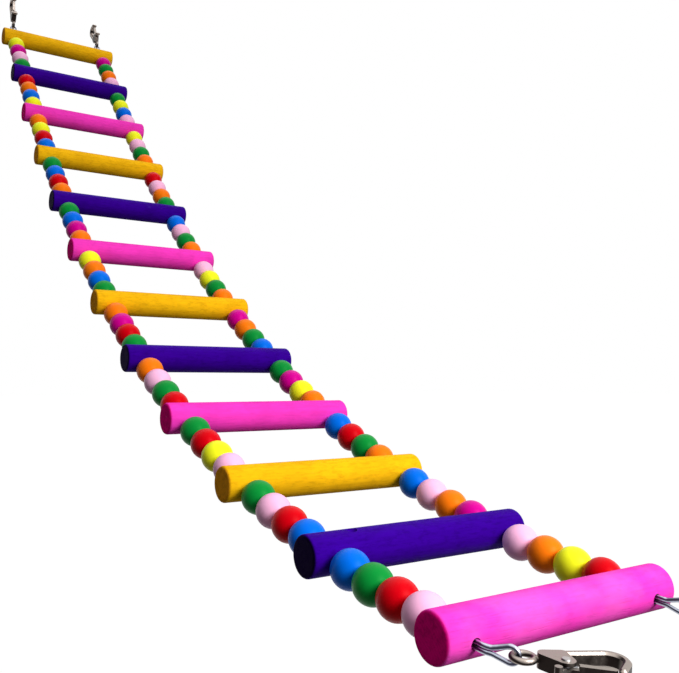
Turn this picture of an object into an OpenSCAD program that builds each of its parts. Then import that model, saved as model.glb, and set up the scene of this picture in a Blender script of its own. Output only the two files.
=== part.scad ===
// Flexible parrot ladder: round wooden rungs on two side wires, with wooden beads between
// the rungs and a sprung clasp at each corner. It is drawn as it hangs, sagging from its
// upper end. X runs from the upper end towards the lower end, Y across the rungs, Z up.
// The origin lies midway between the two upper wire eyes, where the ladder is hung.

/* [Rungs] */
// Length of each rung
rung_len = 100; // [90:1:140]
// Diameter of each rung
rung_d = 15; // [13:0.5:20]
// Radius of the sanded edge at each end of a rung
rung_edge_r = 0.9; // [0.3:0.1:2]
// Distance between the two side wires
wire_spacing = 80; // [66:1:84]
// Diameter of the holes drilled through a rung
rung_hole_d = 3.6; // [3.3:0.1:4.5]

/* [Beads] */
// Diameter of each bead
bead_d = 14; // [13:0.5:16]
// Length of each bead between its flat ends
bead_len = 12.7; // [11:0.1:12.8]
// Diameter of the hole through each bead
bead_hole_d = 2.6; // [2.2:0.1:3.2]
// Room left at each end of a bead
bead_play = 0.12; // [0.1:0.01:0.3]

/* [Sag] */
// Slope of the side wires at the lowest rung, in degrees
low_slope = 5; // [0:0.5:12]
// Bend of a side wire between the two lowest rungs, in degrees
low_bend = 7.1; // [3:0.1:8]
// Bend of a side wire between the two highest rungs, in degrees
high_bend = 0.7; // [0.5:0.1:3]

/* [Side wires] */
// Diameter of the side wire
wire_d = 1.5; // [1.2:0.1:1.5]
// Gap between the two strands of a doubled end
strand_gap = 0.1; // [0.02:0.02:0.2]
// Length of the tail tucked back into the end rung
tail_len = 6; // [3:0.5:7]
// Straight doubled stretch outside an end rung
neck_len = 2; // [1:0.5:5]
// Radius of the bend between the neck and the eye
neck_bend_r = 5; // [4:0.5:8]
// Length of the eye, from the neck to the middle of its round end
eye_len = 5.5; // [5:0.25:8]
// Inner radius of the eye's round end
eye_r = 1.45; // [1.4:0.05:1.8]
// Radius at which the strands part into the eye
eye_part_r = 3; // [2:0.25:4]
// Lift of the upper eyes out of the line of the wire, in degrees
upper_eye_lift = 17; // [1:1:25]
// Sideways turn of the lower left eye, in degrees
lower_left_turn = 30; // [1:1:35]
// Sideways turn of the lower right eye, in degrees
lower_right_turn = 12; // [1:1:35]

/* [Clasps] */
// Thickness of the cast body
clasp_t = 4; // [3.8:0.1:5]
// Diameter of the hole in the clasp's eye
ring_hole_d = 4; // [3.9:0.1:4.4]
// Thickness of the clasp's eye
ring_d = 1.8; // [1.5:0.1:1.9]
// Distance from the eye to the middle of the claw
claw_x = 21.5; // [20:0.5:26]
// Offset of the claw towards the spine
claw_y = 1.4; // [1:0.1:1.8]
// Inner radius of the claw
claw_r = 3.4; // [3:0.1:3.8]
// Width of the metal in the spine and the claw
claw_w = 2.2; // [1.8:0.1:2.6]
// Bevel on the edges of the spine and the claw
claw_bevel = 0.6; // [0.3:0.1:0.8]
// Angle at which the claw's arc ends and its straight tip starts
claw_tip_a = -20; // [-25:1:-15]
// Distance from the eye to the rivet
pivot_x = 10.5; // [10:0.1:11.5]
// Radius of the cast boss round the rivet
boss_r = 2.5; // [2.3:0.1:2.8]
// Width of the slot that holds the trigger
slot_w = 2.2; // [2:0.1:2.4]
// Diameter of the rivet
rivet_d = 1.5; // [1.2:0.1:1.6]
// Diameter of the rivet's heads
rivet_head_d = 2.6; // [2.2:0.1:3.2]
// Height of the rivet's heads
rivet_head_h = 0.4; // [0.2:0.1:0.6]

/* [Triggers] */
// Width of the trigger's arm
lever_w = 1.8; // [1.5:0.1:2]
// Radius of the trigger's hub
hub_r = 1.9; // [1.7:0.1:2.1]
// Distance from the rivet to the thumb pad
pad_reach = 5.2; // [4.8:0.1:6]
// Direction of the thumb pad from the rivet, in degrees
pad_a = -115; // [-120:1:-105]
// Radius of the thumb pad
pad_r = 1; // [0.8:0.1:1.2]
// Thickness of the spring's wire
spring_d = 0.35; // [0.3:0.01:0.38]
// Turns of the spring
spring_turns = 2; // [1:0.25:2]

/* [Clasp poses] */
// Swing of the upper left clasp on its eye, in degrees
upper_left_swing = 18; // [-40:1:40]
// Swing of the upper right clasp on its eye, in degrees
upper_right_swing = -5; // [-40:1:40]
// Swing of the lower left clasp on its eye, in degrees
lower_left_swing = 15; // [-40:1:40]
// Swing of the lower right clasp on its eye, in degrees
lower_right_swing = 18; // [-40:1:40]

/* [Fits] */
// Room between a wire eye and the clasp's eye that hangs in it
link_play = 0.25; // [0.15:0.05:0.3]
// Radial clearance of the trigger on its rivet
rivet_play = 0.05; // [0.02:0.01:0.09]
// Radial clearance of the rivet in the cast body
rivet_seat = 0.01; // [0.01:0.01:0.03]
// Room on each side of the trigger in its slot
slot_play = 0.1; // [0.05:0.05:0.15]
// Room between the trigger's tip and the claw that stops it
tip_play = 0.25; // [0.15:0.05:0.3]
// Room between the trigger's arm and a round bar seated in the claw
seat_play = 0.1; // [0.05:0.05:0.3]
// Room between the spring and what lies beside it
spring_play = 0.05; // [0.02:0.01:0.08]

/* [Hidden] */

// Colours of the rungs, from the top down
RUNG_COLOURS = [
    "yellow", "purple", "pink", "yellow", "purple", "pink",
    "yellow", "purple", "pink", "yellow", "purple", "pink",
];
// Colours of the beads in each gap between two rungs, from the top down
LEFT_BEADS = [
    ["yellow", "magenta", "pink", "green"],
    ["red", "orange", "blue", "yellow"],
    ["orange", "yellow", "red", "blue"],
    ["green", "blue", "red", "orange"],
    ["green", "blue", "magenta", "orange"],
    ["yellow", "orange", "blue", "green"],
    ["orange", "magenta", "red", "green"],
    ["orange", "pink", "green", "red"],
    ["green", "red", "yellow", "pink"],
    ["green", "pink", "red", "blue"],
    ["blue", "green", "red", "pink"],
];
RIGHT_BEADS = [
    ["magenta", "green", "orange", "pink"],
    ["green", "yellow", "blue", "pink"],
    ["yellow", "pink", "green", "orange"],
    ["red", "pink", "orange", "green"],
    ["blue", "pink", "green", "orange"],
    ["pink", "yellow", "green", "orange"],
    ["magenta", "orange", "green", "blue"],
    ["green", "magenta", "yellow", "orange"],
    ["blue", "red", "green", "orange"],
    ["blue", "pink", "orange", "magenta"],
    ["pink", "orange", "yellow", "red"],
];

// Shades of the dyed rungs and of the lacquered beads
function rung_shade(name) =
    name == "yellow" ? [0.90, 0.66, 0.08] :
    name == "purple" ? [0.25, 0.02, 0.55] : [0.97, 0.25, 0.75];
function bead_shade(name) =
    name == "red" ? [0.84, 0.02, 0.08] :
    name == "green" ? [0.10, 0.52, 0.22] :
    name == "blue" ? [0.00, 0.42, 0.88] :
    name == "yellow" ? [1.00, 0.93, 0.15] :
    name == "pink" ? [1.00, 0.78, 0.92] :
    name == "orange" ? [1.00, 0.48, 0.08] : [0.84, 0.00, 0.60];

// Numbers that follow from the lists above
rungs = len(RUNG_COLOURS);
gaps = rungs - 1;
beads_in_gap = len(LEFT_BEADS[0]);

// The ladder's line, seen from the side
bead_step = bead_len + bead_play;
gap_len = beads_in_gap * bead_step + bead_play;
bend_change = (high_bend - low_bend) / (gaps - 1);
strand = (wire_d + strand_gap) / 2;
overlap = 1;
lap = 0.5;
wire_skin = 0.03;
collar_len = 0.3;
wire_fn = 24;
arc_fn = 720;

// Slope of the wire at a rung, in degrees. Rung 0 is the highest.
function slope(i) =
    let (up = gaps - i) low_slope + up * low_bend + bend_change * up * (up - 1) / 2;
// Direction up the ladder, and the way out of its upper face, for a slope
function up_dir(s) = [-cos(s), 0, sin(s)];
function out_dir(s) = [sin(s), 0, cos(s)];
// Bend and radius of the wire in a gap. Gap 0 is the highest.
function bend(g) = slope(g) - slope(g + 1);
function bend_r(g) = gap_len / (bend(g) * PI / 180);
function chord(g) = 2 * bend_r(g) * sin(bend(g) / 2);

// Lines of an eye. Each strand parts at eye_part_r and runs straight to the round end.
bight_r = eye_r + wire_d / 2;
part_z = strand + eye_part_r;
part_dist = sqrt(pow(eye_len, 2) + pow(part_z, 2));
eye_a = asin((eye_part_r + bight_r) / part_dist) - atan(part_z / eye_len);
eye_side = sqrt(pow(part_dist, 2) - pow(eye_part_r + bight_r, 2));
link_x = eye_len + bight_r;

// A corner is [at the upper end, side, turn of the eye, swing of the clasp, turned over]
UPPER_LEFT = [true, -1, upper_eye_lift, upper_left_swing, true];
UPPER_RIGHT = [true, 1, upper_eye_lift, upper_right_swing, true];
LOWER_LEFT = [false, -1, lower_left_turn, lower_left_swing, false];
LOWER_RIGHT = [false, 1, lower_right_turn, lower_right_swing, false];

// Offset of the clasp's link from the end rung's face, in the plane of the turn
function link_offset(turn) = [
    neck_len + neck_bend_r * sin(turn) + link_x * cos(turn),
    neck_bend_r * (1 - cos(turn)) + link_x * sin(turn),
];
upper_link = link_offset(upper_eye_lift);

// Middle of a rung. The highest is placed so that the upper eyes meet at the origin.
function rung_at(i) =
    i == 0
    ? -(rung_d / 2 + upper_link[0]) * up_dir(slope(0)) - upper_link[1] * out_dir(slope(0))
    : rung_at(i - 1) - rung_d / 2 * (up_dir(slope(i - 1)) + up_dir(slope(i)))
        - chord(i - 1) * up_dir((slope(i - 1) + slope(i)) / 2);

// Sizes of the clasp. The trigger's arm lies just below a round bar seated in the claw.
ring_r = (ring_hole_d + ring_d) / 2;
link_to_ring = ring_hole_d / 2 - wire_d / 2 - link_play;
claw_mid_r = claw_r + claw_w / 2;
lever_y = claw_y - claw_r - seat_play - lever_w / 2;
spine_start = [5, 0.4];
stem_r = 1.9;
stem_end = [5.4, 0];
slot_back = pivot_x - hub_r - 0.9;
slot_top = lever_y + hub_r + 0.3;
claw_dx = claw_x - spine_start[0];
claw_dy = claw_y - spine_start[1];
claw_dist = sqrt(pow(claw_dx, 2) + pow(claw_dy, 2));
spine_a = atan(claw_dy / claw_dx) + asin(claw_mid_r / claw_dist);
spine_len = sqrt(pow(claw_dist, 2) - pow(claw_mid_r, 2));
// Length of the claw's straight tip down to the trigger's arm, and where the arm ends
tip_down = (claw_y + claw_r * sin(claw_tip_a) - lever_y) / cos(claw_tip_a);
tip_wall_x = claw_x + claw_r * cos(claw_tip_a) + tip_down * sin(claw_tip_a);
lever_tip_x = tip_wall_x - (lever_w / 2 + tip_play) / cos(claw_tip_a);
tip_len = tip_down + 1;

// The trigger is cut away round its hub on one side, to hold the spring
lever_t = slot_w - 2 * slot_play;
spring_room_r = 3.4;
spring_floor = -0.1;
coil_r = rivet_d / 2 + spring_play + spring_d / 2;
coil_step = spring_d + 0.02;
coil_low = spring_floor + spring_play + spring_d / 2;
coil_steps = 14;
spring_sides = 6;
leg_end = spring_room_r - 0.4;
small_fn = 32;

// Frames

// Puts children at a rung, with the local X axis up the ladder and Z out of its upper face
module at_rung(i) {
    translate(rung_at(i))
        rotate([0, slope(i) - 180, 0])
            rotate([180, 0, 0])
                children();
}

// Puts children where a doubled wire leaves an end rung, with X outwards along the wire
// and the two strands side by side along Z
module at_corner(corner) {
    upper = corner[0];
    i = upper ? 0 : rungs - 1;
    way = upper ? 1 : -1;
    across = corner[1] * wire_spacing / 2;
    shift = upper
        ? [0, across - corner[1] * strand, 0]
        : [0, across, 0] - strand * out_dir(slope(i));
    translate(rung_at(i) + way * rung_d / 2 * up_dir(slope(i)) + shift)
        rotate(upper ? [90, -slope(i), 180] : [0, slope(i), 0])
            children();
}

// Puts children at the start of a corner's eye, past the neck and its bend
module at_eye(corner) {
    turn = corner[2];
    at_corner(corner)
        translate([neck_len, neck_bend_r, 0])
            rotate([0, 0, turn])
                translate([0, -neck_bend_r, 0])
                    children();
}

// Puts children at the middle of a corner's clasp eye, with X towards the claw
module at_clasp(corner) {
    at_eye(corner)
        translate([link_x, 0, 0])
            rotate([0, 0, corner[3]])
                rotate([corner[4] ? 180 : 0, 0, 0])
                    translate([link_to_ring, 0, 0])
                        children();
}

// Wire

// A straight wire along X from the local origin
module wire_rod(length, d = wire_d) {
    rotate([0, 90, 0])
        cylinder(d = d, h = length, $fn = wire_fn);
}

// A bent wire in the XY plane round the local origin, from the X axis onwards
module wire_arc(radius, angle, fn = 96) {
    rotate_extrude(angle = angle, $fn = fn)
        translate([radius, 0])
            circle(d = wire_d, $fn = wire_fn);
}

// A short collar a hair thicker than the wire, which takes in the ends of the two pieces it joins
module wire_collar() {
    translate([-collar_len / 2, 0, 0])
        wire_rod(collar_len, wire_d + wire_skin);
}

// One half of an eye in the XZ plane, from the neck to its round end
module half_eye() {
    translate([0, 0, strand])
        wire_collar();
    translate([0, 0, part_z])
        rotate([90, 0, 0])
            rotate([0, 0, -90])
                wire_arc(eye_part_r, eye_a);
    translate([eye_part_r * sin(eye_a), 0, part_z - eye_part_r * cos(eye_a)])
        rotate([0, -eye_a, 0]) {
            wire_collar();
            wire_rod(eye_side);
            translate([eye_side, 0, 0])
                wire_collar();
        }
}

// A closed eye at a corner: the neck, its bend, the eye and the tail in the rung
module wire_end(corner) {
    upper = corner[0];
    main = upper ? corner[1] : 1;
    at_corner(corner)
        for (way = [-1, 1])
            translate([0, 0, way * strand]) {
                inside = way == main ? lap : tail_len;
                translate([-inside, 0, 0])
                    wire_rod(inside + neck_len);
                translate([neck_len, 0, 0])
                    wire_collar();
                translate([neck_len, neck_bend_r, 0])
                    rotate([0, 0, -90])
                        wire_arc(neck_bend_r, corner[2]);
            }
    at_eye(corner) {
        half_eye();
        mirror([0, 0, 1])
            half_eye();
        translate([eye_len, 0, 0])
            rotate([90, 0, 0])
                rotate([0, 0, -90 - eye_a])
                    wire_arc(bight_r, 180 + 2 * eye_a);
    }
}

// A whole side wire: straight through each rung, bent in each gap, with an eye at each end.
// The straight pieces are a hair thicker, so that each takes in the ends of its neighbours.
module side_wire(side) {
    across = side * wire_spacing / 2;
    color([0.72, 0.74, 0.78])
        union() {
            for (i = [0 : gaps])
                translate([0, across, 0])
                    at_rung(i)
                        translate([-rung_d / 2, 0, 0])
                            wire_rod(rung_d, wire_d + wire_skin);
            for (g = [0 : gaps - 1])
                at_gap(g, across)
                    rotate([0, 0, -lap / gap_len * bend(g)])
                        wire_arc(bend_r(g), (1 + 2 * lap / gap_len) * bend(g), arc_fn);
            wire_end(side < 0 ? UPPER_LEFT : UPPER_RIGHT);
            wire_end(side < 0 ? LOWER_LEFT : LOWER_RIGHT);
        }
}

// Puts children at the centre of a gap's bend, with the wire starting on the X axis
module at_gap(g, across) {
    top = rung_at(g) - rung_d / 2 * up_dir(slope(g));
    translate(top + bend_r(g) * out_dir(slope(g)) + [0, across, 0])
        rotate([90, 0, 0])
            rotate([0, 0, -90 - slope(g)])
                children();
}

// Rungs

// Outline of half a rung, for turning: a dowel with rounded ends
module rung_outline() {
    flat_len = rung_len - 2 * rung_edge_r;
    translate([0, -flat_len / 2])
        square([rung_d / 2, flat_len]);
    translate([0, -rung_len / 2])
        square([rung_d / 2 - rung_edge_r, rung_len]);
    for (end = [-1, 1])
        translate([rung_d / 2 - rung_edge_r, end * flat_len / 2])
            circle(r = rung_edge_r, $fn = small_fn);
}

// A dyed dowel with a hole for each side wire. The end rungs' holes hold a doubled wire.
module rung(number) {
    i = number - 1;
    upper = i == 0;
    lower = i == rungs - 1;
    color(rung_shade(RUNG_COLOURS[i]))
        difference() {
            translate(rung_at(i))
                rotate([90, 0, 0])
                    rotate_extrude($fn = 64)
                        rung_outline();
            for (side = [-1, 1])
                translate([0, side * (wire_spacing / 2 - (upper ? strand : 0)), 0])
                    translate(lower ? -strand * out_dir(slope(i)) : [0, 0, 0])
                        at_rung(i)
                            rotate([0, 90, 0])
                                cylinder(d = rung_hole_d, h = rung_d + 2 * overlap,
                                         center = true, $fn = small_fn);
        }
}

// Beads

// A turned round bead along Z with flat ends and a hole
module bead() {
    difference() {
        intersection() {
            sphere(d = bead_d, $fn = 48);
            cylinder(d = bead_d + overlap, h = bead_len, center = true, $fn = 48);
        }
        cylinder(d = bead_hole_d, h = bead_len + overlap, center = true, $fn = small_fn);
    }
}

// All beads of one colour on one side, each square to the wire at its own middle
module beads(side, shade) {
    rows = side < 0 ? LEFT_BEADS : RIGHT_BEADS;
    color(bead_shade(shade))
        for (g = [0 : gaps - 1])
            for (k = [0 : beads_in_gap - 1])
                if (rows[g][k] == shade)
                    at_gap(g, side * wire_spacing / 2)
                        rotate([0, 0, (bead_play + (k + 0.5) * bead_step - bead_play / 2)
                                / gap_len * bend(g)])
                            translate([bend_r(g), 0, 0])
                                rotate([90, 0, 0])
                                    bead();
}

// Clasps

// Bevelled section of the spine and the claw, across X and through Y
module bar_section() {
    w = claw_w / 2;
    t = clasp_t / 2;
    b = claw_bevel;
    polygon([[-w, b - t], [b - w, -t], [w - b, -t], [w, b - t],
             [w, t - b], [w - b, t], [b - w, t], [-w, t - b]]);
}

// Two discs of different size and the straight sides that touch both
module tapered_link(p, pr, q, qr) {
    step = q - p;
    heading = atan2(step[1], step[0]);
    spread = acos((pr - qr) / norm(step));
    corners = [for (c = [[p, pr, spread], [q, qr, spread], [q, qr, -spread], [p, pr, -spread]])
        c[0] + c[1] * [cos(heading + c[2]), sin(heading + c[2])]];
    translate(p)
        circle(r = pr, $fn = small_fn);
    translate(q)
        circle(r = qr, $fn = small_fn);
    polygon(corners);
}

// Flat outline of the cast part between the eye and the claw
module cheek_outline() {
    pivot = [pivot_x, lever_y];
    spine_x = pivot_x - 0.6;
    spine = [spine_x, spine_start[1] + (spine_x - spine_start[0]) * tan(spine_a)];
    tapered_link(stem_end, stem_r, pivot, boss_r);
    tapered_link(stem_end, stem_r, spine, claw_w / 2);
    tapered_link(spine, claw_w / 2, pivot, boss_r);
    polygon([stem_end, pivot, spine]);
}

// The spine, the claw's arc, its straight tip and the tip's rounded end
module claw_bar() {
    translate(spine_start)
        rotate([0, 0, spine_a])
            rotate([90, 0, 90])
                linear_extrude(height = spine_len)
                    bar_section();
    translate([claw_x, claw_y, 0])
        rotate([0, 0, claw_tip_a])
            rotate_extrude(angle = 90 + spine_a - claw_tip_a, $fn = 96)
                translate([claw_mid_r, 0])
                    bar_section();
    translate([claw_x, claw_y, 0])
        rotate([0, 0, claw_tip_a])
            translate([claw_mid_r, 0, 0]) {
                rotate([90, 0, 0])
                    linear_extrude(height = tip_len)
                        bar_section();
                translate([0, -tip_len, 0])
                    rotate_extrude($fn = small_fn)
                        intersection() {
                            bar_section();
                            translate([0, -clasp_t])
                                square([claw_w, 2 * clasp_t]);
                        }
            }
}

// The cast body: eye, stem, slotted cheeks, spine and claw
module clasp(corner) {
    color([0.78, 0.77, 0.74])
        at_clasp(corner)
            difference() {
                union() {
                    rotate_extrude($fn = 64)
                        translate([ring_r, 0])
                            circle(d = ring_d, $fn = small_fn);
                    translate([ring_r, 0, 0])
                        rotate([0, 90, 0])
                            cylinder(d1 = ring_d, d2 = 2 * stem_r, h = stem_end[0] - ring_r,
                                     $fn = small_fn);
                    linear_extrude(height = clasp_t, center = true)
                        cheek_outline();
                    claw_bar();
                }
                translate([slot_back, slot_top - 4 * boss_r, -slot_w / 2])
                    cube([4 * boss_r, 4 * boss_r, slot_w]);
                translate([pivot_x, lever_y, 0])
                    cylinder(r = rivet_d / 2 + rivet_seat, h = clasp_t + overlap,
                             center = true, $fn = small_fn);
            }
}

// The trigger: a hub on the rivet, an arm to the claw's tip and a thumb pad
module trigger(corner) {
    pad = pad_reach * [cos(pad_a), sin(pad_a)];
    color([0.70, 0.69, 0.67])
        at_clasp(corner)
            translate([pivot_x, lever_y, 0])
                difference() {
                    union() {
                        linear_extrude(height = lever_t, center = true) {
                            tapered_link([0, 0], hub_r, pad, pad_r);
                            circle(r = hub_r, $fn = small_fn);
                            translate([0, -lever_w / 2])
                                square([lever_tip_x - pivot_x, lever_w]);
                            translate([lever_tip_x - pivot_x, 0])
                                circle(d = lever_w, $fn = small_fn);
                        }
                        translate(pad)
                            cylinder(r = pad_r, h = clasp_t, center = true, $fn = small_fn);
                    }
                    translate([0, 0, spring_floor])
                        cylinder(r = spring_room_r, h = slot_w, $fn = small_fn);
                    cylinder(r = rivet_d / 2 + rivet_play, h = clasp_t, center = true,
                             $fn = small_fn);
                }
}

// The rivet, with a low coned head on each side
module rivet(corner) {
    color([0.62, 0.62, 0.63])
        at_clasp(corner)
            translate([pivot_x, lever_y, 0]) {
                cylinder(d = rivet_d, h = clasp_t, center = true, $fn = small_fn);
                for (face = [0, 1])
                    mirror([0, 0, face])
                        translate([0, 0, clasp_t / 2])
                            cylinder(d1 = rivet_head_d, d2 = rivet_head_d - rivet_head_h,
                                     h = rivet_head_h, $fn = small_fn);
            }
}

// Points of the spring's middle line: a leg to the slot's back, the coil, a leg by the arm
function coil_point(n) =
    let (a = 90 + 360 * n / coil_steps)
        [coil_r * cos(a), coil_r * sin(a), coil_low + coil_step * n / coil_steps];
function spring_path() =
    let (last = coil_point(coil_steps * spring_turns))
        concat([[leg_end, coil_r, coil_low]],
               [for (n = [0 : coil_steps * spring_turns]) coil_point(n)],
               [last + 1.2 * [-1, 0, 0]]);

// Ring of points round one place on a path, square to the path
function path_way(path, n) =
    let (a = path[max(n - 1, 0)], b = path[min(n + 1, len(path) - 1)]) (b - a) / norm(b - a);
function path_ring(path, n, radius, sides) =
    let (way = path_way(path, n),
         flat = cross(way, [0, 0, 1]) / norm(cross(way, [0, 0, 1])),
         rise = cross(flat, way))
        [for (k = [0 : sides - 1])
            path[n] + radius * (cos(360 * k / sides) * flat + sin(360 * k / sides) * rise)];

// A round wire swept along a path of points
module swept_wire(path, radius, sides) {
    rings = len(path);
    points = [for (n = [0 : rings - 1]) each path_ring(path, n, radius, sides)];
    walls = [for (n = [0 : rings - 2], k = [0 : sides - 1])
        let (m = (k + 1) % sides)
            [n * sides + k, n * sides + m, (n + 1) * sides + m, (n + 1) * sides + k]];
    start = [for (k = [sides - 1 : -1 : 0]) k];
    finish = [for (k = [0 : sides - 1]) (rings - 1) * sides + k];
    polyhedron(points = points, faces = concat(walls, [start, finish]));
}

// The torsion spring that holds the trigger shut
module spring(corner) {
    color([0.55, 0.56, 0.58])
        at_clasp(corner)
            translate([pivot_x, lever_y, 0])
                swept_wire(spring_path(), spring_d / 2, spring_sides);
}

rung(1);  // rung_1
rung(2);  // rung_2
rung(3);  // rung_3
rung(4);  // rung_4
rung(5);  // rung_5
rung(6);  // rung_6
rung(7);  // rung_7
rung(8);  // rung_8
rung(9);  // rung_9
rung(10);  // rung_10
rung(11);  // rung_11
rung(12);  // rung_12
side_wire(-1);  // left_side_wire
side_wire(1);  // right_side_wire
beads(-1, "red");  // left_beads_red
beads(-1, "green");  // left_beads_green
beads(-1, "blue");  // left_beads_blue
beads(-1, "yellow");  // left_beads_yellow
beads(-1, "pink");  // left_beads_pink
beads(-1, "orange");  // left_beads_orange
beads(-1, "magenta");  // left_beads_magenta
beads(1, "red");  // right_beads_red
beads(1, "green");  // right_beads_green
beads(1, "blue");  // right_beads_blue
beads(1, "yellow");  // right_beads_yellow
beads(1, "pink");  // right_beads_pink
beads(1, "orange");  // right_beads_orange
beads(1, "magenta");  // right_beads_magenta
clasp(UPPER_LEFT);  // upper_left_clasp
trigger(UPPER_LEFT);  // upper_left_trigger
rivet(UPPER_LEFT);  // upper_left_rivet
spring(UPPER_LEFT);  // upper_left_spring
clasp(UPPER_RIGHT);  // upper_right_clasp
trigger(UPPER_RIGHT);  // upper_right_trigger
rivet(UPPER_RIGHT);  // upper_right_rivet
spring(UPPER_RIGHT);  // upper_right_spring
clasp(LOWER_LEFT);  // lower_left_clasp
trigger(LOWER_LEFT);  // lower_left_trigger
rivet(LOWER_LEFT);  // lower_left_rivet
spring(LOWER_LEFT);  // lower_left_spring
clasp(LOWER_RIGHT);  // lower_right_clasp
trigger(LOWER_RIGHT);  // lower_right_trigger
rivet(LOWER_RIGHT);  // lower_right_rivet
spring(LOWER_RIGHT);  // lower_right_spring
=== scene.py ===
"""Dress the bird ladder: dyed rungs, lacquered beads, steel wires and nickel clasps."""

import logging
import math
import random
from dataclasses import dataclass
from enum import Enum
from typing import Callable, Iterable, Optional, Sequence, Union

import bpy
from mathutils import Matrix, Vector


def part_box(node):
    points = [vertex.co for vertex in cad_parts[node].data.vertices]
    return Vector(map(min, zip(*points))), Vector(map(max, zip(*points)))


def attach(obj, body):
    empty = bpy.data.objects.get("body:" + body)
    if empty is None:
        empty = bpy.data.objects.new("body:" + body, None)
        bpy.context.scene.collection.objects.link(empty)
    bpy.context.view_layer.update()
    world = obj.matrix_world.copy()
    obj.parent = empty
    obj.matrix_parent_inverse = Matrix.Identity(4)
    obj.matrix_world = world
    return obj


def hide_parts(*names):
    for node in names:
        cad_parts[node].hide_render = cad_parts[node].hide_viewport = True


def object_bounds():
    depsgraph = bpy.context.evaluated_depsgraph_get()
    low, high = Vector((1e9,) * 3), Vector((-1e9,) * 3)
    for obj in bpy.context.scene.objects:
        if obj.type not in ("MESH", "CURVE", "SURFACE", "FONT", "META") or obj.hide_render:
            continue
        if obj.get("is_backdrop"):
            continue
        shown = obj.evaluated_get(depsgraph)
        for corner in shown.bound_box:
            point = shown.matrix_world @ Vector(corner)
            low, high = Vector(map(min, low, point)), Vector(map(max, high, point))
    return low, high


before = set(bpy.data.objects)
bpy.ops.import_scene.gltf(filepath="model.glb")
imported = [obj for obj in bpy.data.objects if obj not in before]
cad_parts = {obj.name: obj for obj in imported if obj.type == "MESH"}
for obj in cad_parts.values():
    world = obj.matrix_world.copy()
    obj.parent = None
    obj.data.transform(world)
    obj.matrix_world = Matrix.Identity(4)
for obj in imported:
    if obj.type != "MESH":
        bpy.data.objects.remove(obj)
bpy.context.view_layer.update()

log = logging.getLogger("bird_ladder")
logging.basicConfig(level=logging.INFO, format="%(name)s: %(message)s")

MM = 0.001
PHOTO_WIDTH = 679
Y_AXIS, Z_AXIS = Vector((0, 1, 0)), Vector((0, 0, 1))
OTHER_SEEN_RAYS = ("Is Glossy Ray", "Is Transmission Ray")

Number = Union[float, "Channel"]
Shade = tuple[float, float, float]


# Shader maths


class Channel:
    """A value socket of a material. Arithmetic on it adds Math nodes."""

    def __init__(self, graph: "Graph", socket: bpy.types.NodeSocket) -> None:
        """Keep the graph and the output socket that holds the value."""
        self.graph = graph
        self.socket = socket

    def _with(self, operation: str, first: Number, second: Number = 0.0) -> "Channel":
        """Join two values by one Math node.

        Args:
            operation: The Math node's operation.
            first: Its first value.
            second: Its second value.

        Returns:
            The result.
        """
        node = self.graph.add("ShaderNodeMath", {"operation": operation},
                              {0: first, 1: second})
        return Channel(self.graph, node.outputs[0])

    def __add__(self, other: Number) -> "Channel":
        """Sum."""
        return self._with("ADD", self, other)

    __radd__ = __add__

    def __sub__(self, other: Number) -> "Channel":
        """Difference."""
        return self._with("SUBTRACT", self, other)

    def __rsub__(self, other: Number) -> "Channel":
        """Difference from a number."""
        return self._with("SUBTRACT", other, self)

    def __mul__(self, other: Number) -> "Channel":
        """Product."""
        return self._with("MULTIPLY", self, other)

    def __pow__(self, power: Number) -> "Channel":
        """Power."""
        return self._with("POWER", self, power)

    def __abs__(self) -> "Channel":
        """Size without its sign."""
        return self._with("ABSOLUTE", self)

    def sine(self) -> "Channel":
        """Sine of an angle in radians."""
        return self._with("SINE", self)

    def larger(self, other: Number) -> "Channel":
        """The larger of two values."""
        return self._with("MAXIMUM", self, other)

    def ramp(self, low: float, high: float, start: float = 0.0, end: float = 1.0) -> "Channel":
        """Smooth change between two values.

        Args:
            low: Value at which the change begins.
            high: Value at which it ends.
            start: Result below low.
            end: Result above high.

        Returns:
            The smoothed result.
        """
        node = self.graph.add("ShaderNodeMapRange", {"interpolation_type": "SMOOTHSTEP"},
                              {"Value": self, "From Min": low, "From Max": high,
                               "To Min": start, "To Max": end})
        return Channel(self.graph, node.outputs[0])


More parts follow.
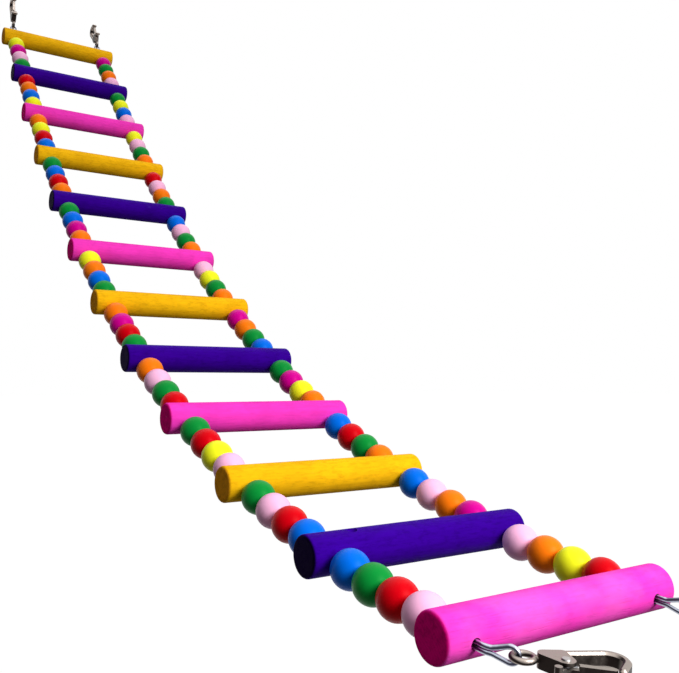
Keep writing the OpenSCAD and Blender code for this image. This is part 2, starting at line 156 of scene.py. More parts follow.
class Graph:
    """The node tree of one new material."""

    def __init__(self, name: str) -> None:
        """Start a material with an empty tree and its two fixed nodes."""
        self.material = bpy.data.materials.new(name)
        self.material.use_nodes = True
        self.tree = self.material.node_tree
        self.tree.nodes.clear()
        self.output = self.add("ShaderNodeOutputMaterial")
        self.place = self.add("ShaderNodeTexCoord").outputs["Object"]

    def add(self, kind: str, settings: Optional[dict] = None,
            inputs: Optional[dict] = None) -> bpy.types.Node:
        """Add one node.

        Args:
            kind: The node's type.
            settings: Properties that are set first.
            inputs: Values or links of its sockets, by name or number.

        Returns:
            The new node.
        """
        node = self.tree.nodes.new(kind)
        for name, value in (settings or {}).items():
            setattr(node, name, value)
        for name, value in (inputs or {}).items():
            socket = node.inputs[name]
            if isinstance(value, Channel):
                value = value.socket
            if isinstance(value, bpy.types.NodeSocket):
                self.tree.links.new(value, socket)
            else:
                socket.default_value = value
        return node

    def channel(self, node: bpy.types.Node, output: Union[int, str] = 0) -> Channel:
        """Wrap one output of a node."""
        return Channel(self, node.outputs[output])

    def placed(self, centre: Vector, turn: Sequence[float] = (0, 0, 0),
               stretch: Sequence[float] = (1, 1, 1)) -> bpy.types.NodeSocket:
        """Coordinates measured from a piece's own middle.

        Args:
            centre: The middle, in the object's space.
            turn: Angles that bring the piece's own axes to the world's.
            stretch: Scale along each axis.

        Returns:
            The mapped coordinates.
        """
        moved = self.add("ShaderNodeVectorMath", {"operation": "SUBTRACT"},
                         {0: self.place, 1: tuple(centre)})
        turned = self.add("ShaderNodeMapping", {"vector_type": "POINT"},
                          {"Vector": moved.outputs[0], "Rotation": tuple(turn),
                           "Scale": tuple(stretch)})
        return turned.outputs[0]

    def noise(self, vector: bpy.types.NodeSocket, scale: float, detail: float = 2.0,
              roughness: float = 0.5) -> Channel:
        """Fractal noise between 0 and 1."""
        node = self.add("ShaderNodeTexNoise", {"noise_dimensions": "3D"},
                        {"Vector": vector, "Scale": scale, "Detail": detail,
                         "Roughness": roughness})
        return self.channel(node)

    def stretched(self, vector: bpy.types.NodeSocket,
                  stretch: Sequence[float]) -> bpy.types.NodeSocket:
        """Scale coordinates along each axis."""
        return self.add("ShaderNodeVectorMath", {"operation": "MULTIPLY"},
                        {0: vector, 1: tuple(stretch)}).outputs[0]

    def mix(self, amount: Number, first: Union[Shade, bpy.types.NodeSocket],
            second: Union[Shade, bpy.types.NodeSocket],
            blend: str = "MIX") -> bpy.types.NodeSocket:
        """Mix two colours.

        Args:
            amount: Share of the second colour.
            first: The colour at 0.
            second: The colour at 1.
            blend: The Mix node's blend type.

        Returns:
            The mixed colour.
        """
        def colour(value: Union[Shade, bpy.types.NodeSocket]):
            """Give a plain shade its alpha."""
            return (*value, 1.0) if isinstance(value, tuple) else value

        node = self.add("ShaderNodeMix", {"data_type": "RGBA", "blend_type": blend},
                        {0: amount, 6: colour(first), 7: colour(second)})
        return node.outputs[2]

    def bump(self, height: Channel, distance: float, strength: float = 1.0) -> bpy.types.NodeSocket:
        """Turn a height into a normal. The distance is in metres."""
        node = self.add("ShaderNodeBump", {}, {"Height": height, "Distance": distance,
                                               "Strength": strength})
        return node.outputs[0]

    def surface(self, **inputs) -> bpy.types.Material:
        """Finish the material with one Principled shader.

        Args:
            inputs: Its sockets by name, with underscores for spaces.

        Returns:
            The finished material.
        """
        sockets = {name.replace("_", " "): value for name, value in inputs.items()}
        shader = self.add("ShaderNodeBsdfPrincipled", {}, sockets)
        self.tree.links.new(shader.outputs[0], self.output.inputs["Surface"])
        return self.material


# Finishes


def srgb(red: int, green: int, blue: int) -> Shade:
    """Turn a screen colour into the linear one that shaders use."""
    def linear(part: int) -> float:
        """One channel."""
        value = part / 255
        return value / 12.92 if value <= 0.04045 else ((value + 0.055) / 1.055) ** 2.4

    return linear(red), linear(green), linear(blue)


class Dye(Enum):
    """Dyes of the rungs: face and end-grain colour and mottling."""

    YELLOW = ("yellow", srgb(250, 182, 16), srgb(240, 160, 30), 0.5)
    PURPLE = ("purple", srgb(50, 0, 136), srgb(12, 0, 36), 0.5)
    PINK = ("pink", srgb(255, 58, 188), srgb(255, 4, 140), 0.3)

    def __init__(self, label: str, face: Shade, end: Shade, mottling: float) -> None:
        """Name the dye, its two colours and how unevenly the wood took it."""
        self.label = label
        self.face = face
        self.end = end
        self.mottling = mottling


class Lacquer(Enum):
    """Lacquers of the beads."""

    RED = ("red", srgb(208, 0, 16))
    GREEN = ("green", srgb(10, 140, 54))
    BLUE = ("blue", srgb(0, 108, 228))
    YELLOW = ("yellow", srgb(248, 252, 36))
    PINK = ("pink", srgb(255, 188, 226))
    ORANGE = ("orange", srgb(255, 124, 14))
    MAGENTA = ("magenta", srgb(208, 0, 144))

    def __init__(self, label: str, face: Shade) -> None:
        """Name the lacquer and its colour."""
        self.label = label
        self.face = face


@dataclass(frozen=True)
class StainedWood:
    """Matt dyed dowel: grain along its length, rings on its ends, pores, blotches and fading."""

    dye: Dye
    grain_scale: tuple[float, float, float] = (900.0, 26.0, 900.0)
    band_scale: tuple[float, float, float] = (260.0, 9.0, 260.0)
    pore_scale: tuple[float, float, float] = (2100.0, 120.0, 2100.0)
    scuff_scale: tuple[float, float, float] = (210.0, 90.0, 210.0)
    mottle_scale: tuple[float, float, float] = (620.0, 210.0, 620.0)
    blotch_scale: float = 60.0
    fade_scale: float = 34.0
    end_scale: float = 420.0
    fuzz_scale: float = 1900.0
    ring_pitch: float = 1.1 * MM
    ring_waver: float = 1.2 * MM
    pith_reach: float = 16.0 * MM
    end_start: float = 0.7 * MM
    end_full: float = 0.1 * MM
    relief: float = 0.06 * MM
    roughness: float = 0.62
    fading: float = 0.0

    def material(self, name: str, centre: Vector, length: float,
                 rng: random.Random) -> bpy.types.Material:
        """Make the dowel's material.

        Args:
            name: The material's name.
            centre: Middle of the dowel, whose axis runs along Y.
            length: Its length.
            rng: Source of each dowel's own grain.

        Returns:
            The material.
        """
        graph = Graph(name)
        here = graph.placed(centre)
        drawn = graph.add("ShaderNodeVectorMath", {"operation": "ADD"},
                          {0: here, 1: tuple(rng.uniform(-1, 1) for _ in range(3))}).outputs[0]
        axes = graph.add("ShaderNodeSeparateXYZ", {}, {0: here})
        across, along, up = (Channel(graph, axes.outputs[k]) for k in range(3))

        grain = graph.noise(graph.stretched(drawn, self.grain_scale), 1.0, 4.0, 0.6)
        bands = graph.noise(graph.stretched(drawn, self.band_scale), 1.0, 3.0, 0.55)
        pores = graph.noise(graph.stretched(drawn, self.pore_scale), 1.0, 1.0, 0.4)
        blotch = graph.noise(drawn, self.blotch_scale, 3.0, 0.5)
        scuff = graph.noise(graph.stretched(drawn, self.scuff_scale), 1.0, 5.0, 0.65)
        mottle = graph.noise(graph.stretched(drawn, self.mottle_scale), 1.0, 4.0, 0.7)

        reach = self.pith_reach
        pith = Vector((rng.uniform(-reach, reach), 0, rng.uniform(-reach, reach)))
        ring_x, ring_z = across - pith.x, up - pith.z
        waver = (blotch - 0.5) * self.ring_waver
        distance = (ring_x * ring_x + ring_z * ring_z) ** 0.5 + waver
        rings = (distance * (2 * math.pi / self.ring_pitch)).sine().ramp(-0.2, 0.95)

        on_end = abs(along).ramp(length / 2 - self.end_start, length / 2 - self.end_full)
        streak = grain.ramp(0.42, 0.72) * 0.5 + bands.ramp(0.4, 0.7) * 0.5
        pore = pores.ramp(0.60, 0.70)
        dark_face = tuple(0.62 * part for part in self.dye.face)
        light_face = tuple(min(1.0, 1.12 * part + 0.0006) for part in self.dye.face)
        face = graph.mix(streak * 0.42, light_face, dark_face)
        face = graph.mix(pore * 0.1, face, tuple(0.35 * part for part in self.dye.face))
        face = graph.mix(blotch.ramp(0.35, 0.75) * 0.34, face, dark_face)
        face = graph.mix(mottle.ramp(0.46, 0.66) * self.dye.mottling, face, dark_face)
        pale = tuple(min(1.0, part + 0.3) for part in self.dye.face)
        faded = graph.noise(drawn, self.fade_scale, 3.0, 0.6).ramp(0.36, 0.66) * self.fading
        face = graph.mix(faded, face, pale)
        face = graph.mix(scuff.ramp(0.66, 0.74) * 0.22, face,
                         tuple(min(1.0, 1.25 * part + 0.03) for part in self.dye.face))
        dark_end = tuple(0.55 * part for part in self.dye.end)
        end = graph.mix(rings * 0.14, self.dye.end, dark_end)
        cloudy = graph.noise(drawn, self.end_scale, 4.0, 0.7).ramp(0.4, 0.7)
        end = graph.mix(cloudy * 0.7, end, dark_end)
        colour = graph.mix(on_end, face, end)

        relief = (grain * 0.6 + (1 - pore) * 0.7 + scuff * 0.4) * (1 - on_end)
        fuzz = graph.noise(drawn, self.fuzz_scale, 2.0, 0.7)
        relief = relief + on_end * (rings * -0.15 + fuzz)
        rough = self.roughness + streak * 0.12 + on_end * 0.18
        return graph.surface(Base_Color=colour, Roughness=rough,
                             Normal=graph.bump(relief, self.relief), Specular_IOR_Level=0.06,
                             Specular_Tint=(*self.dye.face, 1.0))


@dataclass(frozen=True)
class BeadLacquer:
    """Thick satin paint on turned wood, a little uneven."""

    lacquer: Lacquer
    roughness: float = 0.36
    cloud_scale: float = 90.0
    turned_scale: float = 240.0
    peel_scale: float = 420.0
    speck_scale: float = 1400.0
    relief: float = 0.04 * MM

    def material(self, name: str, rng: random.Random) -> bpy.types.Material:
        """Make the lacquer of one colour.

        Args:
            name: The material's name.
            rng: Source of the offset of its pattern.

        Returns:
            The material.
        """
        graph = Graph(name)
        drawn = graph.placed(Vector([rng.uniform(-1, 1) for _ in range(3)]))
        cloud = graph.noise(drawn, self.cloud_scale, 2.0, 0.5)
        speck = graph.noise(drawn, self.speck_scale, 2.0, 0.6)
        peel = graph.noise(drawn, self.peel_scale, 1.0, 0.4)
        turned = graph.noise(drawn, self.turned_scale, 3.0, 0.6)
        dark = tuple(0.86 * part for part in self.lacquer.face)
        colour = graph.mix(cloud.ramp(0.3, 0.75) * 0.3, self.lacquer.face, dark)
        colour = graph.mix(speck.ramp(0.72, 0.8) * 0.4, colour,
                           tuple(0.45 * part for part in self.lacquer.face))
        rough = self.roughness + turned.ramp(0.4, 0.8) * 0.12
        relief = peel * 0.7 + turned * 0.5
        tint = tuple(0.12 + 0.88 * part for part in self.lacquer.face)
        return graph.surface(Base_Color=colour, Roughness=rough, Specular_IOR_Level=0.18,
                             Specular_Tint=(*tint, 1.0),
                             Normal=graph.bump(relief, self.relief))


@dataclass(frozen=True)
class BareMetal:
    """Plated or drawn metal with a painted reflection of bright and dark bands by the way the
    surface faces, and faint dark scratches.
    """

    # face is the bright tone and dark the dark tone of the painted reflection bands; dark also
    # colours the scratches.
    face: Shade
    dark: Shade
    roughness: float = 0.2
    patch_scale: float = 260.0
    scratch_scale: float = 1800.0
    drawn_scale: tuple[float, float, float] = (300.0, 2600.0, 2600.0)
    # bands sets how closely the painted reflection bands follow one another as the surface turns.
    bands: float = 5.0
    relief: float = 0.03 * MM
    # Painted light: surfaces that face this way get the bright band of the painted reflection.
    painted_light_side: tuple[float, float, float] = (0.62, -0.1, 0.78)

    def material(self, name: str) -> bpy.types.Material:
        """Make the metal.

        Args:
            name: The material's name.

        Returns:
            The material.
        """
        graph = Graph(name)
        patches = graph.noise(graph.place, self.patch_scale, 4.0, 0.6)
        grit = graph.noise(graph.place, self.scratch_scale, 3.0, 0.7)
        drawn = graph.noise(graph.stretched(graph.place, self.drawn_scale), 1.0, 2.0, 0.6)
        # Painted reflection: the base colour swings between the dark and the bright tone with the
        # way the surface faces, as a dark room with one bright lamp would show, broken up by the
        # patches.
        normal = graph.add("ShaderNodeTexCoord").outputs["Normal"]
        facing_painted_light = graph.channel(graph.add("ShaderNodeVectorMath", {"operation": "DOT_PRODUCT"},
                                         {0: normal, 1: self.painted_light_side}), "Value")
        painted_reflection_bands = ((1 - facing_painted_light) * self.bands + patches * 1.4 + (math.pi / 2 - 0.7)).sine()
        colour = graph.mix(painted_reflection_bands.ramp(-0.7, 0.85), self.dark, self.face)
        colour = graph.mix(grit.ramp(0.62, 0.8) * 0.4, colour, self.dark)
        rough = self.roughness + patches.ramp(0.42, 0.72) * 0.14 + grit.ramp(0.5, 0.8) * 0.1
        relief = patches * 0.5 + grit * 0.35 + drawn * 0.3
        return graph.surface(Base_Color=colour, Roughness=rough, Metallic=1.0,
                             Normal=graph.bump(relief, self.relief))


# Edit-mode modelling


def start_clean() -> None:
    """Leave edit mode and deselect everything."""
    if bpy.context.object and bpy.context.object.mode != "OBJECT":
        bpy.ops.object.mode_set(mode="OBJECT")
    bpy.ops.object.select_all(action="DESELECT")


def activate(piece: bpy.types.Object) -> None:
    """Make a piece the only selected and the active one."""
    start_clean()
    piece.select_set(True)
    bpy.context.view_layer.objects.active = piece


def pick(piece: bpy.types.Object, mode: str, wanted: Callable[[Vector], bool]) -> None:
    """Select part of a piece that is in edit mode, by the place of its elements.

    Args:
        piece: The piece.
        mode: VERT, EDGE or FACE.
        wanted: Test of a vertex, an edge's middle or a face's middle.
    """
    bpy.ops.mesh.select_all(action="DESELECT")
    bpy.ops.mesh.select_mode(type=mode)
    bpy.ops.object.mode_set(mode="OBJECT")
    mesh = piece.data
    if mode == "VERT":
        for vertex in mesh.vertices:
            vertex.select = wanted(vertex.co)
    elif mode == "EDGE":
        for edge in mesh.edges:
            ends = [mesh.vertices[v].co for v in edge.vertices]
            edge.select = all(wanted(end) for end in ends)
    else:
        for face in mesh.polygons:
            face.select = wanted(face.center)
    bpy.ops.object.mode_set(mode="EDIT")


def set_place(piece: bpy.types.Object, matrix: Matrix) -> None:
    """Move a finished piece by its mesh, so that its object stays at the origin."""
    piece.data.transform(matrix)
    piece.data.update()


def duplicate(piece: bpy.types.Object, name: str, matrix: Matrix) -> bpy.types.Object:
    """Copy a piece with a mesh of its own.

    Args:
        piece: The piece to copy.
        name: Name of the copy.
        matrix: Place of the copy.

    Returns:
        The copy.
    """
    copy = bpy.data.objects.new(name, piece.data.copy())
    copy.data.name = name
    bpy.context.scene.collection.objects.link(copy)
    set_place(copy, matrix)
    return copy


def apply_modifier(piece: bpy.types.Object, kind: str, **settings) -> None:
    """Add a modifier to a piece and apply it at once."""
    activate(piece)
    modifier = piece.modifiers.new(kind.title(), kind)
    for name, value in settings.items():
        setattr(modifier, name, value)
    bpy.ops.object.modifier_apply(modifier=modifier.name)


def turn_about(axis: Vector, degrees: float) -> Matrix:
    """Turn about an axis through the origin."""
    return Matrix.Rotation(math.radians(degrees), 4, axis)


# The ladder's line


@dataclass
class LadderLine:
    """The curve on which the ladder hangs, seen from the side. Lengths are in metres."""

    rungs: int = 12
    rung_d: float = 15.0 * MM
    wire_spacing: float = 80.0 * MM
    bead_d: float = 14.0 * MM
    bead_len: float = 12.7 * MM
    bead_play: float = 0.12 * MM
    beads_in_gap: int = 4
    low_slope: float = 5.0
    low_bend: float = 7.1
    high_bend: float = 0.7

    @property
    def gap_len(self) -> float:
        """Length of wire between two rungs."""
        return self.beads_in_gap * (self.bead_len + self.bead_play) + self.bead_play

    def slope(self, rung: int) -> float:
        """Slope of the wire at a rung, in degrees. Rung 0 is the highest."""
        above = self.rungs - 1 - rung
        change = (self.high_bend - self.low_bend) / (self.rungs - 2)
        return self.low_slope + above * self.low_bend + change * above * (above - 1) / 2

    def up(self, degrees: float) -> Vector:
        """Direction up the ladder where the wire has a given slope."""
        angle = math.radians(degrees)
        return Vector((-math.cos(angle), 0, math.sin(angle)))

    def outward(self, degrees: float) -> Vector:
        """Direction out of the ladder's upper face where the wire has a given slope."""
        angle = math.radians(degrees)
        return Vector((math.sin(angle), 0, math.cos(angle)))

    def rung_middle(self, rung: int) -> Vector:
        """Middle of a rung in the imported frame."""
        low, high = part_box(f"rung_{rung + 1}")
        return (low + high) / 2

    def bead_place(self, gap: int, order: int, side: int) -> Matrix:
        """Place of a bead whose own axis is Z.

        Args:
            gap: Gap between rungs, 0 the highest.
            order: Bead in its gap, 0 the highest.
            side: -1 for the left side wire, 1 for the right.

        Returns:
            The bead's place.
        """
        bend = self.slope(gap) - self.slope(gap + 1)
        radius = self.gap_len / math.radians(bend)
        run = (self.bead_play + (order + 0.5) * (self.bead_len + self.bead_play)
               - self.bead_play / 2)
        here = self.slope(gap) - run / self.gap_len * bend
        start = self.rung_middle(gap) - self.rung_d / 2 * self.up(self.slope(gap))
        centre = start + radius * self.outward(self.slope(gap))
        place = centre - radius * self.outward(here)
        place.y += side * self.wire_spacing / 2
        return Matrix.Translation(place) @ turn_about(Y_AXIS, here - 90)


# Sub-assemblies


@dataclass
class Rungs:
    """Twelve dyed dowels with holes for the side wires."""

    line: LadderLine
    length: float = 100.0 * MM
    edge: float = 1.2 * MM
    hole_d: float = 3.6 * MM
    strand: float = 0.8 * MM
    sides: int = 96
    stations: int = 40
    unevenness: float = 0.05 * MM
    last_fading: float = 0.15
    chipped: int = 10
    chip_along: float = -31.0 * MM
    chip_size: float = 2.6 * MM
    chip_forward: float = 0.4
    chip_above: float = 0.35
    dyes: tuple[Dye, ...] = (Dye.YELLOW, Dye.PURPLE, Dye.PINK) * 4
    seed: int = 12

    def dowel(self, name: str, rng: random.Random) -> bpy.types.Object:
        """Extrude a dowel along Y, a little uneven, with rounded ends.

        Args:
            name: The piece's name.
            rng: Source of the unevenness.

        Returns:
            The dowel, centred on the origin.
        """
        radius = self.line.rung_d / 2
        start_clean()
        bpy.ops.mesh.primitive_circle_add(vertices=self.sides, radius=radius - self.edge,
                                          fill_type="NGON", location=(0, -self.length / 2, 0),
                                          rotation=(math.pi / 2, 0, 0))
        piece = bpy.context.object
        piece.name = piece.data.name = name
        bpy.ops.object.transform_apply(location=True, rotation=True, scale=True)
        bpy.ops.object.mode_set(mode="EDIT")
        bpy.ops.mesh.select_all(action="SELECT")
        size, place = radius - self.edge, -self.length / 2
        for target, run in self.profile(rng):
            bpy.ops.mesh.extrude_region_move(
                TRANSFORM_OT_translate={"value": (0, run - place, 0)})
            bpy.ops.transform.resize(value=(target / size, 1, target / size),
                                     center_override=(0, run, 0))
            size, place = target, run
        bpy.ops.mesh.select_all(action="SELECT")
        bpy.ops.mesh.normals_make_consistent(inside=False)
        pick(piece, "FACE", lambda middle: abs(abs(middle.y) - self.length / 2) < 1e-6)
        bpy.ops.mesh.inset(thickness=self.edge * 0.6)
        bpy.ops.object.mode_set(mode="OBJECT")
        return piece

    def profile(self, rng: random.Random) -> Iterable[tuple[float, float]]:
        """Radius and place of each ring of a dowel, from one end to the other.

        Args:
            rng: Source of the unevenness.

        Returns:
            Pairs of radius and place along Y.
        """
        radius, half = self.line.rung_d / 2, self.length / 2
        steps = 5
        corner = [(radius - self.edge * (1 - math.sin(math.pi / 2 * k / steps)),
                   half - self.edge * (1 - math.cos(math.pi / 2 * k / steps)))
                  for k in range(1, steps + 1)]
        rings = [(size, -run) for size, run in corner]
        drift = 0.0
        for k in range(1, self.stations):
            drift = 0.6 * drift + rng.uniform(-1, 0) * self.unevenness * 0.5
            run = (half - self.edge) * (2 * k / self.stations - 1)
            rings.append((radius + drift * 0.5, run))
        rings += [(size, run) for size, run in reversed(corner)]
        rings.append((radius - self.edge, half))
        return rings

    def bore(self, piece: bpy.types.Object, rung: int, slope: float) -> None:
        """Cut the two wire holes.

        Args:
            piece: The dowel at the origin.
            rung: Its number, 0 the highest.
            slope: Slope of the wire through it, in degrees.
        """
        last = self.line.rungs - 1
        for side in (-1, 1):
            offset = Vector((0, side * self.line.wire_spacing / 2, 0))
            if rung == 0:
                offset.y -= side * self.strand
            if rung == last:
                offset -= self.strand * self.line.outward(slope)
            start_clean()
            bpy.ops.mesh.primitive_cylinder_add(vertices=32, radius=self.hole_d / 2,
                                                depth=2 * self.line.rung_d)
            drill = bpy.context.object
            set_place(drill, Matrix.Translation(offset) @ turn_about(Y_AXIS, slope - 90))
            apply_modifier(piece, "BOOLEAN", operation="DIFFERENCE", object=drill,
                           solver="EXACT")
            bpy.data.objects.remove(drill)

    def chip(self, piece: bpy.types.Object) -> None:
        """Knock a small chip out of a dowel's upper side."""
        start_clean()
        bpy.ops.mesh.primitive_ico_sphere_add(subdivisions=2, radius=self.chip_size)
        flake = bpy.context.object
        set_place(flake, Matrix.Translation(
            (self.chip_forward * self.chip_size, self.chip_along,
             self.line.rung_d / 2 + self.chip_above * self.chip_size)))
        apply_modifier(piece, "BOOLEAN", operation="DIFFERENCE", object=flake, solver="EXACT")
        bpy.data.objects.remove(flake)

    def build(self) -> list[bpy.types.Object]:
        """Make all rungs.

        Returns:
            The finished rungs.
        """
        made = []
        for rung, dye in enumerate(self.dyes):
            rng = random.Random(self.seed + rung)
            slope = self.line.slope(rung)
            node = f"rung_{rung + 1}"
            piece = self.dowel(f"{dye.label}_rung_{rung + 1}", rng)
            self.bore(piece, rung, slope)
            if rung == self.chipped:
                self.chip(piece)
            middle = self.line.rung_middle(rung)
            set_place(piece, Matrix.Translation(middle))
            activate(piece)
            bpy.ops.object.shade_smooth_by_angle(angle=math.radians(38))
            fading = self.last_fading if rung == self.line.rungs - 1 else 0.0
            finish = StainedWood(dye, fading=fading).material(f"dyed_wood_{rung + 1}", middle,
                                                              self.length, rng)
            piece.data.materials.clear()
            piece.data.materials.append(finish)
            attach(piece, "ladder")
            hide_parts(node)
            made.append(piece)
        log.info("rungs: %d", len(made))
        return made


@dataclass
class Beads:
    """Lacquered beads, four on each side wire between every two rungs."""

    line: LadderLine
    hole_d: float = 2.6 * MM
    lip: float = 0.35 * MM
    seed: int = 88
    left: tuple[str, ...] = (
        "yellow magenta pink green", "red orange blue yellow", "orange yellow red blue",
        "green blue red orange", "green blue magenta orange", "yellow orange blue green",
        "orange magenta red green", "orange pink green red", "green red yellow pink",
        "green pink red blue", "blue green red pink")
    right: tuple[str, ...] = (
        "magenta green orange pink", "green yellow blue pink", "yellow pink green orange",
        "red pink orange green", "blue pink green orange", "pink yellow green orange",
        "magenta orange green blue", "green magenta yellow orange", "blue red green orange",
        "blue pink orange magenta", "pink orange yellow red")

    def pattern(self) -> bpy.types.Object:
        """Turn one bead from a ball: cut its ends flat, open the hole and round the lips.

        Returns:
            The bead, with its axis along Z.
        """
        half = self.line.bead_len / 2
        bore = self.hole_d / 2
        start_clean()
        bpy.ops.mesh.primitive_uv_sphere_add(segments=40, ring_count=24,
                                             radius=self.line.bead_d / 2)
        piece = bpy.context.object
        piece.name = piece.data.name = "bead_pattern"
        bpy.ops.object.mode_set(mode="EDIT")
        for way in (-1, 1):
            bpy.ops.mesh.select_all(action="SELECT")
            bpy.ops.mesh.bisect(plane_co=(0, 0, way * half), plane_no=(0, 0, way),
                                clear_outer=True)
        rim = math.sqrt((self.line.bead_d / 2) ** 2 - half ** 2)
        lips = ((bore + self.lip, 0.0), (bore + 0.3 * self.lip, 0.3 * self.lip),
                (bore, self.lip))
        for way in (-1, 1):
            pick(piece, "EDGE", lambda end: abs(end.z - way * half) < 1e-6)
            size, drop = rim, 0.0
            for target, depth in lips:
                bpy.ops.mesh.extrude_region_move(
                    TRANSFORM_OT_translate={"value": (0, 0, -way * (depth - drop))})
                bpy.ops.transform.resize(value=(target / size, target / size, 1),
                                         center_override=(0, 0, way * (half - depth)))
                size, drop = target, depth
        pick(piece, "EDGE", lambda end: math.hypot(end.x, end.y) < bore + 1e-6)
        bpy.ops.mesh.bridge_edge_loops()
        bpy.ops.mesh.select_all(action="SELECT")
        bpy.ops.mesh.normals_make_consistent(inside=False)
        bpy.ops.object.mode_set(mode="OBJECT")
        bpy.ops.object.shade_smooth_by_angle(angle=math.radians(35))
        return piece

    def build(self) -> list[bpy.types.Object]:
        """Make all beads.

        Returns:
            The finished beads.
        """
        rng = random.Random(self.seed)
        pattern = self.pattern()
        finishes = {lacquer.label: BeadLacquer(lacquer).material(f"lacquer_{lacquer.label}", rng)
                    for lacquer in Lacquer}
        made = []
        for side, word, rows in ((-1, "left", self.left), (1, "right", self.right)):
            for gap, row in enumerate(rows):
                for order, shade in enumerate(row.split()):
                    spin = turn_about(Z_AXIS, rng.uniform(0, 360))
                    girth = rng.uniform(0.985, 1.0)
                    place = (self.line.bead_place(gap, order, side) @ spin
                             @ Matrix.Diagonal((girth, girth, 1, 1)))
                    piece = duplicate(pattern, f"{word}_bead_{gap + 1}_{order + 1}_{shade}",
                                      place)
                    piece.data.materials.clear()
                    piece.data.materials.append(finishes[shade])
                    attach(piece, "ladder")
                    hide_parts(f"{word}_beads_{shade}")
                    made.append(piece)
        bpy.data.objects.remove(pattern)
        log.info("beads: %d", len(made))
        return made


@dataclass
class Hardware:
    """Side wires and clasps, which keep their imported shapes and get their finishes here."""

    corners: tuple[str, ...] = ("upper_left", "upper_right", "lower_left", "lower_right")

    def dress(self) -> None:
        """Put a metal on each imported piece."""
        # In each metal the first colour is the bright and the second the dark tone of its painted
        # reflection bands.
        finishes = {
            "side_wire": BareMetal(srgb(180, 184, 198), srgb(56, 56, 70), 0.28),
            "clasp": BareMetal(srgb(158, 147, 139), srgb(34, 28, 26), 0.4, bands=4.2),
            "trigger": BareMetal(srgb(154, 144, 136), srgb(38, 32, 30), 0.4, bands=4.2),
            "rivet": BareMetal(srgb(190, 186, 184), srgb(60, 56, 56), 0.26),
            "spring": BareMetal(srgb(150, 150, 156), srgb(40, 40, 46), 0.22),
        }
        finishes = {part: metal.material(f"metal_of_{part}")
                    for part, metal in finishes.items()}
        for side in ("left", "right"):
            self.coat(f"{side}_side_wire", finishes["side_wire"])
        for corner in self.corners:
            for part in ("clasp", "trigger", "rivet", "spring"):
                self.coat(f"{corner}_{part}", finishes[part])
        log.info("hardware dressed")

    def coat(self, node: str, finish: bpy.types.Material) -> None:
        """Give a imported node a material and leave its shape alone."""
        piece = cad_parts[node]
        if not piece.material_slots:
            piece.data.materials.append(finish)
        for held in piece.material_slots:
            held.material = finish


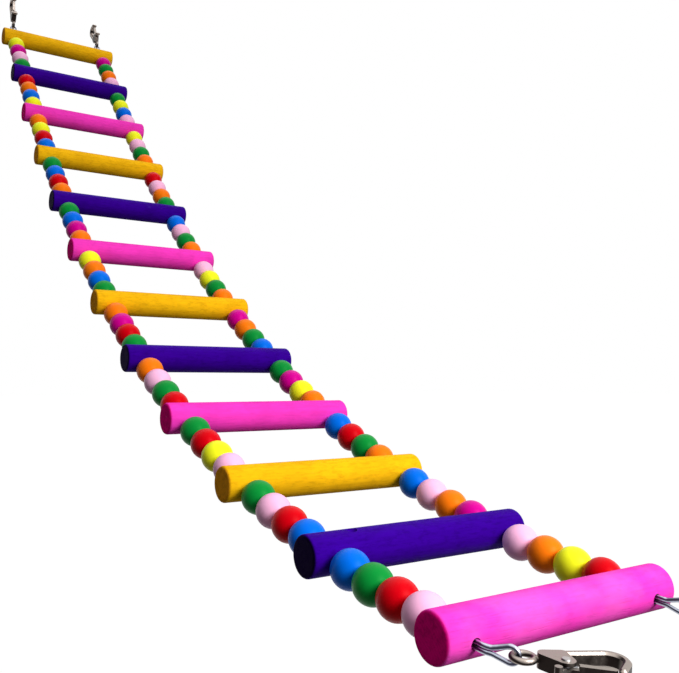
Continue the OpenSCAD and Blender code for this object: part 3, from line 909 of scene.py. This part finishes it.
@dataclass
class Studio:
    """Floor, soft lamps, white background and the camera of the photograph."""

    focal_px: float = 795.9
    yaw: float = 33.93
    pitch: float = 3.27
    from_last_rung: tuple[float, float, float] = (0.1679, -0.1923, 0.0690)
    floor_drop: float = 0.45
    floor_size: float = 60.0
    floor_shade: float = 0.13
    floor_glow: float = 0.93
    key_from: tuple[float, float, float] = (0.785, 0.21, 0.583)
    key_strength: float = 1.15
    key_angle: float = 26.0
    top_strength: float = 1.0
    top_angle: float = 80.0
    near_distance: float = 0.6
    near_size: float = 0.3
    near_power: float = 4.2
    world_strength: float = 0.085

    def camera(self) -> None:
        """Place the camera that took the photograph."""
        yaw, pitch = math.radians(self.yaw), math.radians(self.pitch)
        ahead = Vector((-math.cos(yaw) * math.cos(pitch), math.sin(yaw) * math.cos(pitch),
                        math.sin(pitch)))
        low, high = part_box("rung_12")
        data = bpy.data.cameras.new("photo_camera")
        data.sensor_fit = "HORIZONTAL"
        data.sensor_width = 36.0
        data.lens = self.focal_px / PHOTO_WIDTH * data.sensor_width
        data.clip_start, data.clip_end = 0.01, 100.0
        camera = bpy.data.objects.new("photo_camera", data)
        camera.location = (low + high) / 2 + Vector(self.from_last_rung)
        camera.rotation_mode = "QUATERNION"
        camera.rotation_quaternion = ahead.to_track_quat("-Z", "Y")
        bpy.context.scene.collection.objects.link(camera)
        bpy.context.scene.camera = camera

    def hang(self, data: bpy.types.Light, towards: Vector,
             place: Optional[Vector] = None) -> None:
        """Hang a lamp so that its light comes from one direction.

        Args:
            data: The lamp's light.
            towards: Direction from the ladder to the lamp.
            place: Where it hangs. A far lamp needs no place.
        """
        lamp = bpy.data.objects.new(data.name, data)
        if place is not None:
            lamp.location = place
        lamp.rotation_mode = "QUATERNION"
        lamp.rotation_quaternion = towards.to_track_quat("Z", "Y")
        bpy.context.scene.collection.objects.link(lamp)

    def far_lamp(self, name: str, towards: Vector, strength: float, angle: float) -> None:
        """Hang one wide soft lamp so far away that it lights everything alike.

        Args:
            name: The lamp's name.
            towards: Direction from the ladder to the lamp.
            strength: Its strength.
            angle: Its width as seen from the ladder, in degrees.
        """
        data = bpy.data.lights.new(name, "SUN")
        data.energy = strength
        data.angle = math.radians(angle)
        self.hang(data, towards)

    def near_lamp(self) -> None:
        """Hang a small soft lamp by the lower end, which the photograph shows brightest."""
        low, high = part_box("rung_12")
        towards = Vector(self.key_from).normalized()
        data = bpy.data.lights.new("near_lamp", "AREA")
        data.shape = "SQUARE"
        data.size = self.near_size
        data.energy = self.near_power
        self.hang(data, towards, (low + high) / 2 + self.near_distance * towards)

    def lamps(self) -> None:
        """Light the ladder from the near right and from above, most at its lower end."""
        self.far_lamp("key_lamp", Vector(self.key_from), self.key_strength, self.key_angle)
        self.far_lamp("top_lamp", Z_AXIS, self.top_strength, self.top_angle)
        self.near_lamp()

    def background(self) -> None:
        """Make the world white to the camera and in reflections, and grey as a light."""
        world = bpy.data.worlds.new("white_room")
        world.use_nodes = True
        bpy.context.scene.world = world
        tree = world.node_tree
        tree.nodes.clear()
        path = tree.nodes.new("ShaderNodeLightPath")
        seen = path.outputs["Is Camera Ray"]
        for ray in OTHER_SEEN_RAYS:
            larger = tree.nodes.new("ShaderNodeMath")
            larger.operation = "MAXIMUM"
            tree.links.new(seen, larger.inputs[0])
            tree.links.new(path.outputs[ray], larger.inputs[1])
            seen = larger.outputs[0]
        strength = tree.nodes.new("ShaderNodeMapRange")
        strength.inputs["To Min"].default_value = self.world_strength
        strength.inputs["To Max"].default_value = 1.0
        tree.links.new(seen, strength.inputs["Value"])
        glow = tree.nodes.new("ShaderNodeBackground")
        glow.inputs["Color"].default_value = (1, 1, 1, 1)
        tree.links.new(strength.outputs[0], glow.inputs["Strength"])
        output = tree.nodes.new("ShaderNodeOutputWorld")
        tree.links.new(glow.outputs[0], output.inputs["Surface"])

    def floor(self) -> None:
        """Lay the pale floor well below the ladder."""
        low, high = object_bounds()
        middle = (low + high) / 2
        start_clean()
        bpy.ops.mesh.primitive_plane_add(
            size=self.floor_size, location=(middle.x, middle.y, low.z - self.floor_drop))
        piece = bpy.context.object
        piece.name = "floor"
        graph = Graph("pale_floor")
        path = graph.add("ShaderNodeLightPath")
        seen = Channel(graph, path.outputs["Is Camera Ray"])
        for ray in OTHER_SEEN_RAYS:
            seen = seen.larger(Channel(graph, path.outputs[ray]))
        matt = graph.add("ShaderNodeBsdfDiffuse", {}, {"Color": (*[self.floor_shade] * 3, 1)})
        glow = graph.add("ShaderNodeEmission", {}, {"Color": (1, 1, 1, 1),
                                                    "Strength": self.floor_glow})
        both = graph.add("ShaderNodeAddShader", {}, {0: matt.outputs[0], 1: glow.outputs[0]})
        mixed = graph.add("ShaderNodeMixShader", {}, {0: seen, 1: matt.outputs[0],
                                                      2: both.outputs[0]})
        graph.tree.links.new(mixed.outputs[0], graph.output.inputs["Surface"])
        piece.data.materials.append(graph.material)
        piece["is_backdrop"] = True

    def build(self) -> None:
        """Set up the whole studio."""
        bpy.context.scene.view_settings.view_transform = "Standard"
        self.camera()
        self.background()
        self.floor()
        self.lamps()
        log.info("studio ready")


def main() -> None:
    """Build the studio and the ladder's pieces in order."""
    line = LadderLine()
    Studio().build()
    Rungs(line).build()
    Beads(line).build()
    Hardware().dress()


if __name__ == "__main__":
    main()
